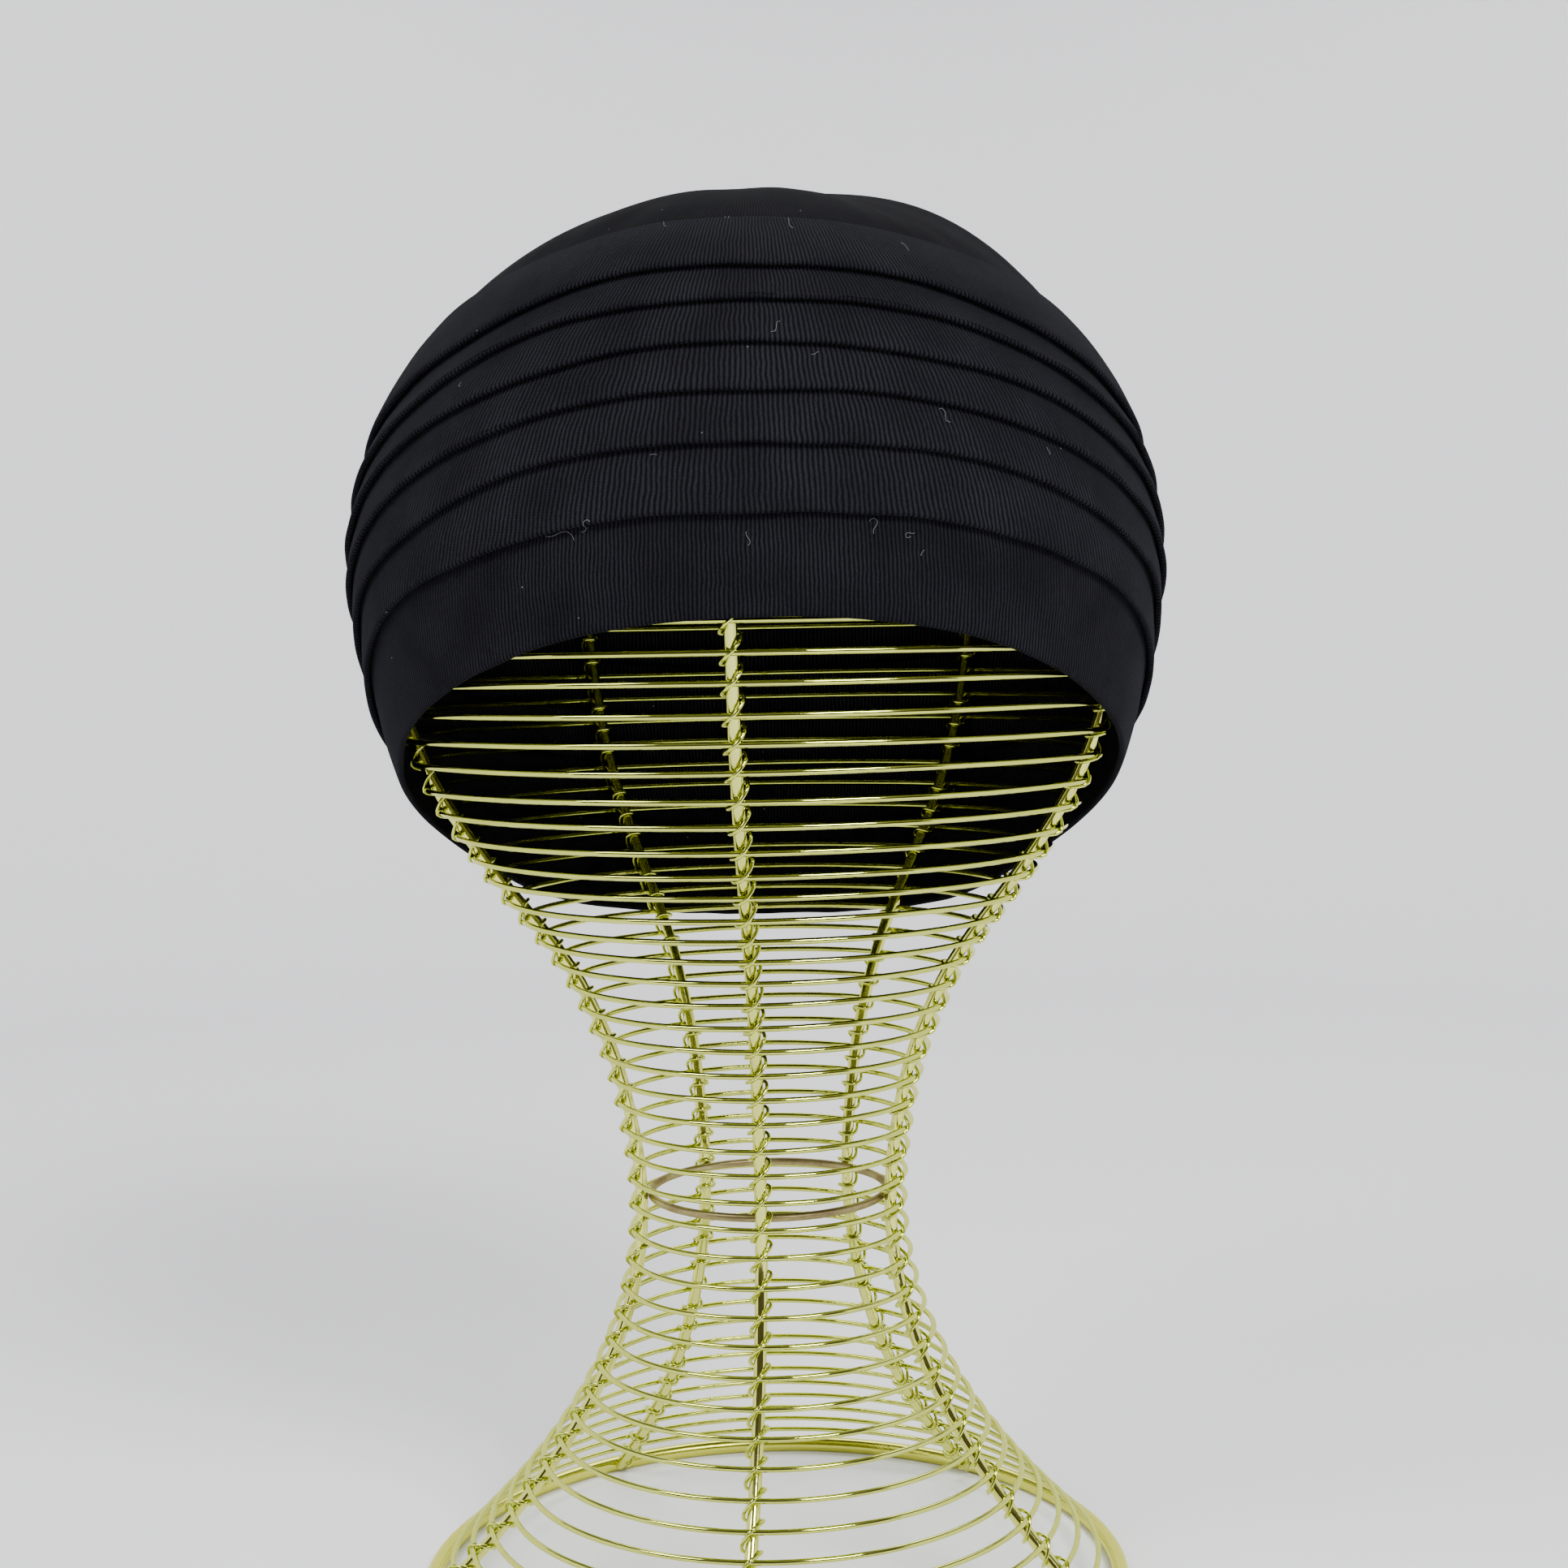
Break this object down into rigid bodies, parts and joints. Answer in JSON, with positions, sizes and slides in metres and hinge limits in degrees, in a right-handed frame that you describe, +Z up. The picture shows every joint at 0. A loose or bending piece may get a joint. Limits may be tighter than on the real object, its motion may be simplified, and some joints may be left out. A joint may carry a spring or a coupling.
{
  "type": "turban headwrap on wire hat stand",
  "caption": "Pull-on pleated jersey turban with overlapping tiers and a plain gathered crown, worn by an hourglass wire hat stand.",
  "frame": {"origin": "bottom centre of the bounding box, on the floor under the stand's axis", "axes": "+Z up, the front of the turban towards -Y, +X to the right of the picture"},
  "size_m": [0.1976, 0.1982, 0.3423],
  "materials": {
    "stand_wire": "polished pale gold plating",
    "jersey": "matt fine-rib jersey"
  },
  "bodies": {
    "root": {"wire_stand": "stand_wire", "hoop_1": "stand_wire", "hoop_2": "stand_wire", "hoop_3": "stand_wire", "hoop_4": "stand_wire", "hoop_5": "stand_wire", "hoop_6": "stand_wire", "hoop_7": "stand_wire", "hoop_8": "stand_wire", "hoop_9": "stand_wire", "hoop_10": "stand_wire", "hoop_11": "stand_wire", "hoop_12": "stand_wire", "hoop_13": "stand_wire", "hoop_14": "stand_wire", "hoop_15": "stand_wire", "hoop_16": "stand_wire", "hoop_17": "stand_wire", "hoop_18": "stand_wire", "hoop_19": "stand_wire", "hoop_20": "stand_wire", "hoop_21": "stand_wire", "hoop_22": "stand_wire", "hoop_23": "stand_wire", "brow_band": "jersey", "pleat_1": "jersey", "pleat_2": "jersey", "pleat_3": "jersey", "pleat_4": "jersey", "pleat_5": "jersey", "pleat_6": "jersey", "crown_cap": "jersey"}
  },
  "joints": []
}
